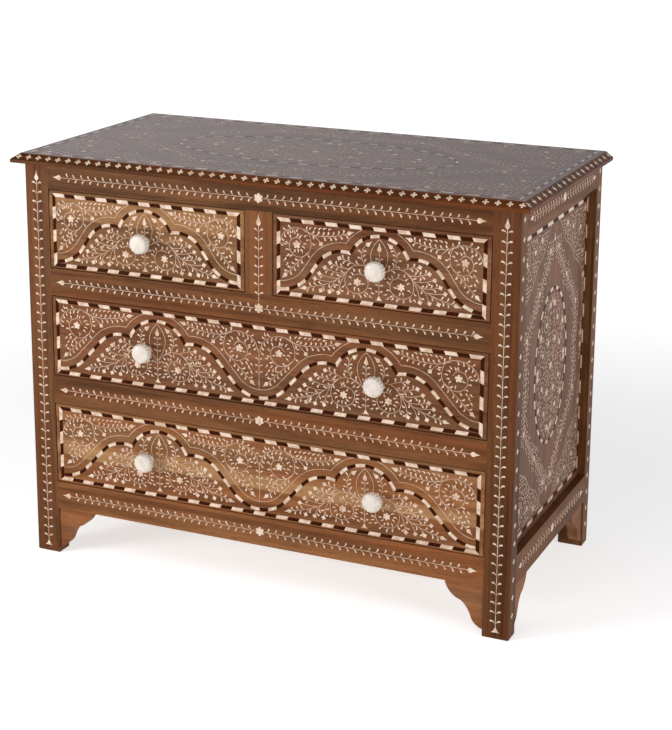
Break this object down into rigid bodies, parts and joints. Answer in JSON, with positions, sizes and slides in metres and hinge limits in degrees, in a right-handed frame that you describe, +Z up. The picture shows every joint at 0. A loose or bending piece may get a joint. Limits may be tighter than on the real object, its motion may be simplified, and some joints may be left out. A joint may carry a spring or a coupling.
{
  "type": "chest of drawers",
  "caption": "Wooden chest of drawers with inlaid floral fronts, small drawers above wide ones, scalloped knobs, panelled sides, bevelled top and scrolled brackets between square post feet.",
  "frame": {"origin": "on the floor, under the middle of the box that holds the whole chest with its knobs", "axes": "+X along the chest's width to the viewer's right, -Y towards the viewer at the drawer fronts, +Z up"},
  "size_m": [1.04, 0.535, 0.816],
  "materials": {
    "frame_wood": "satin, dark reddish brown",
    "drawer_wood": "satin, medium brown",
    "inner_wood": "bare, unpolished",
    "bone": "polished bone, cream",
    "dark_inlay": "dark inlay, satin",
    "steel": "plain zinc"
  },
  "bodies": {
    "carcass": {"bottom_runners": "inner_wood", "centre_stile": "frame_wood", "front_bottom_rail": "frame_wood", "front_left_bracket": "frame_wood", "front_left_post": "frame_wood", "front_lower_rail": "frame_wood", "front_right_bracket": "frame_wood", "front_right_post": "frame_wood", "front_top_rail": "frame_wood", "front_upper_rail": "frame_wood", "kickers": "inner_wood", "left_bottom_rail": "frame_wood", "left_front_bracket": "frame_wood", "left_rear_bracket": "frame_wood", "left_side_panel": "frame_wood", "left_top_rail": "frame_wood", "lower_runners": "inner_wood", "rear_bottom_rail": "inner_wood", "rear_left_post": "frame_wood", "rear_lower_rail": "inner_wood", "rear_panel": "inner_wood", "rear_right_post": "frame_wood", "rear_top_rail": "inner_wood", "rear_upper_rail": "inner_wood", "right_bottom_rail": "frame_wood", "right_front_bracket": "frame_wood", "right_rear_bracket": "frame_wood", "right_side_panel": "frame_wood", "right_top_rail": "frame_wood", "top_panel": "frame_wood", "top_screws": "steel", "upper_runners": "inner_wood"},
    "upper_left_drawer": {"upper_left_drawer_back": "inner_wood", "upper_left_drawer_bolts": "steel", "upper_left_drawer_bottom": "inner_wood", "upper_left_drawer_front": "drawer_wood", "upper_left_drawer_knobs": "bone", "upper_left_drawer_left_side": "inner_wood", "upper_left_drawer_right_side": "inner_wood"},
    "upper_right_drawer": {"upper_right_drawer_back": "inner_wood", "upper_right_drawer_bolts": "steel", "upper_right_drawer_bottom": "inner_wood", "upper_right_drawer_front": "drawer_wood", "upper_right_drawer_knobs": "bone", "upper_right_drawer_left_side": "inner_wood", "upper_right_drawer_right_side": "inner_wood"},
    "middle_drawer": {"middle_drawer_back": "inner_wood", "middle_drawer_bolts": "steel", "middle_drawer_bottom": "inner_wood", "middle_drawer_front": "drawer_wood", "middle_drawer_knobs": "bone", "middle_drawer_left_side": "inner_wood", "middle_drawer_right_side": "inner_wood"},
    "bottom_drawer": {"bottom_drawer_back": "inner_wood", "bottom_drawer_bolts": "steel", "bottom_drawer_bottom": "inner_wood", "bottom_drawer_front": "drawer_wood", "bottom_drawer_knobs": "bone", "bottom_drawer_left_side": "inner_wood", "bottom_drawer_right_side": "inner_wood"}
  },
  "joints": [
    {"name": "upper_left_drawer_slide", "type": "slide", "parent": "carcass", "child": "upper_left_drawer", "axis": [0, -1, 0], "range_m": [0, 0.34]},
    {"name": "upper_right_drawer_slide", "type": "slide", "parent": "carcass", "child": "upper_right_drawer", "axis": [0, -1, 0], "range_m": [0, 0.34]},
    {"name": "middle_drawer_slide", "type": "slide", "parent": "carcass", "child": "middle_drawer", "axis": [0, -1, 0], "range_m": [0, 0.34]},
    {"name": "bottom_drawer_slide", "type": "slide", "parent": "carcass", "child": "bottom_drawer", "axis": [0, -1, 0], "range_m": [0, 0.34]}
  ]
}
